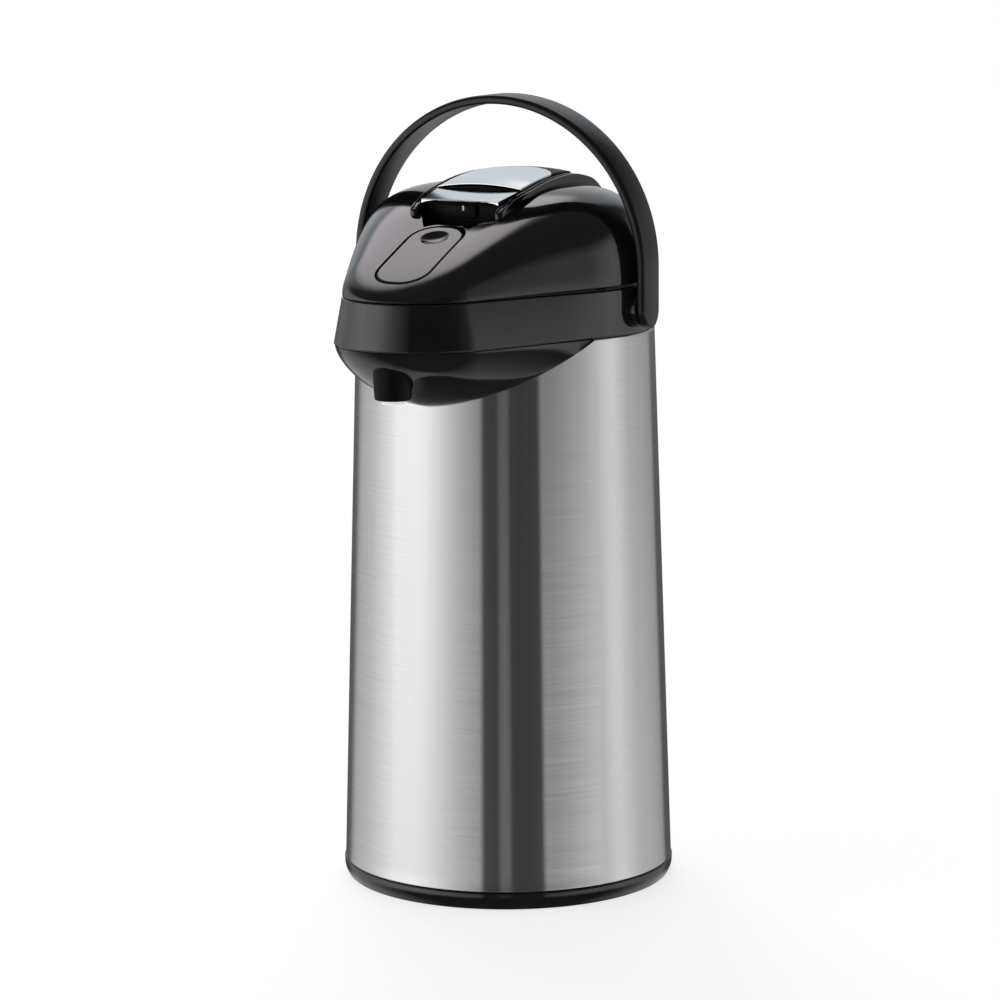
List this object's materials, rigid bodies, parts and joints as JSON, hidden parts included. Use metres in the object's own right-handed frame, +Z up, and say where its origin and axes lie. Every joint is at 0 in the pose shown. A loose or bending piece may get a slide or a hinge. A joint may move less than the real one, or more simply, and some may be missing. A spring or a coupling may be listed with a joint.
{
  "type": "thermal coffee airpot",
  "caption": "Tapered steel vacuum airpot with a black pump head, chrome press lever, drip spout, hinged lid with latch tongue and a folding bail handle.",
  "frame": {"origin": "centre of the underside, on the body's axis and on the surface it stands on", "axes": "+Z up along the body's axis, -Y towards the spout, +X to the spout's left as the airpot faces its user's cup"},
  "size_m": [0.161, 0.2006, 0.3806],
  "materials": {
    "brushed_steel": "brushed",
    "plain_steel": "satin",
    "black_gloss": "gloss",
    "black_satin": "satin",
    "grey_plastic": "satin",
    "white_plastic": "satin",
    "chrome": "polished",
    "rubber": "matte",
    "silicone": "matte"
  },
  "bodies": {
    "body": {"outer_shell": "brushed_steel", "base_cup": "black_gloss", "foot_mat": "rubber", "base_screws": "plain_steel", "liner_cradle": "grey_plastic", "liner_cushion": "rubber", "liner_outer": "plain_steel", "liner_inner": "plain_steel", "neck_collar": "grey_plastic", "collar_screws": "plain_steel", "head_housing": "black_gloss", "chin_cover": "black_gloss", "spout_nozzle": "black_gloss", "spout_tip": "white_plastic", "delivery_pipe": "grey_plastic", "tube_head": "grey_plastic", "tube_sleeve": "silicone", "dip_tube": "plain_steel", "latch_catch": "plain_steel", "handle_pins": "plain_steel", "lid_hinge_pin": "plain_steel"},
    "handle": {"handle": "black_satin"},
    "lid": {"lid_shell": "black_gloss", "lid_base": "black_satin", "lid_screws": "plain_steel", "pump_housing": "grey_plastic", "lid_gasket": "silicone", "air_valve": "silicone", "lever_cradle": "black_satin", "lever_pin": "plain_steel", "lever_bezel": "black_gloss", "latch_pin": "plain_steel"},
    "plunger": {"pump_plunger": "grey_plastic", "bellows": "rubber", "bellows_spring": "plain_steel"},
    "lever": {"lever_plate": "chrome", "lever_lip": "chrome", "lever_frame": "black_satin"},
    "lock": {"lock_slider": "black_satin", "lock_mark": "white_plastic"},
    "latch": {"latch_tongue": "black_gloss"}
  },
  "joints": [
    {"name": "handle_swing", "type": "hinge", "parent": "body", "child": "handle", "pos_m": [0, 0, 0.2808], "axis": [-1, 0, 0], "range_deg": [0, 95]},
    {"name": "lid_open", "type": "hinge", "parent": "body", "child": "lid", "pos_m": [0, 0.0735, 0.2915], "axis": [-1, 0, 0], "range_deg": [0, 7]},
    {"name": "lever_press", "type": "hinge", "parent": "lid", "child": "lever", "pos_m": [0, 0.044, 0.3225], "axis": [1, 0, 0], "range_deg": [0, 8], "stiffness_Nm_per_rad": 4, "springref_deg": -3.44},
    {"name": "plunger_slide", "type": "slide", "parent": "lid", "child": "plunger", "axis": [0, 0, -1], "range_m": [0, 0.0065], "deforming": ["bellows", "bellows_spring"]},
    {"name": "latch_press", "type": "hinge", "parent": "lid", "child": "latch", "pos_m": [0, -0.08, 0.303], "axis": [-1, 0, 0], "range_deg": [0, 6], "stiffness_Nm_per_rad": 0.3, "springref_deg": -2.86},
    {"name": "lock_slide", "type": "slide", "parent": "lever", "child": "lock", "axis": [1, 0, 0], "range_m": [0, 0.008]}
  ],
  "couplings": [
    {"joint": "plunger_slide", "follows": "lever_press", "m_per_rad": 0.045}
  ]
}
